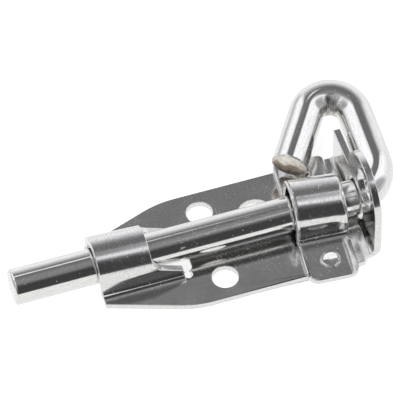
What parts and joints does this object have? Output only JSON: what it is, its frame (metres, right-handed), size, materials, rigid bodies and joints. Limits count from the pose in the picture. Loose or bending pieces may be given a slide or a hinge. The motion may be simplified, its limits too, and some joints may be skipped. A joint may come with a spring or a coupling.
{
  "type": "padbolt",
  "caption": "Short padbolt with a round bolt bent into a three-sided handle, on a pressed plate with a raised loop, a riveted strap and a padlock ear.",
  "frame": {"origin": "on the back face of the plate, under the bolt's axis, level with the two screw holes", "axes": "+X along the bolt from its tip to its handle, +Y to the side the handle rests on, +Z away from the door"},
  "size_m": [0.1111, 0.0583, 0.0266],
  "materials": {
    "plate_steel": "bright polished sheet with fine scratches",
    "rivet_steel": "bright pressed heads",
    "bolt_steel": "bright polished rod with a rough sawn end"
  },
  "bodies": {
    "plate": {"base_plate": "plate_steel", "rear_strap": "plate_steel", "rivet_near": "rivet_steel", "rivet_far": "rivet_steel"},
    "bolt": {"bolt": "bolt_steel"}
  },
  "joints": [
    {"name": "bolt_turn", "type": "hinge", "parent": "plate", "child": "bolt", "pos_m": [0, 0, 0.0071], "axis": [1, 0, 0], "range_deg": [0, 157]}
  ]
}
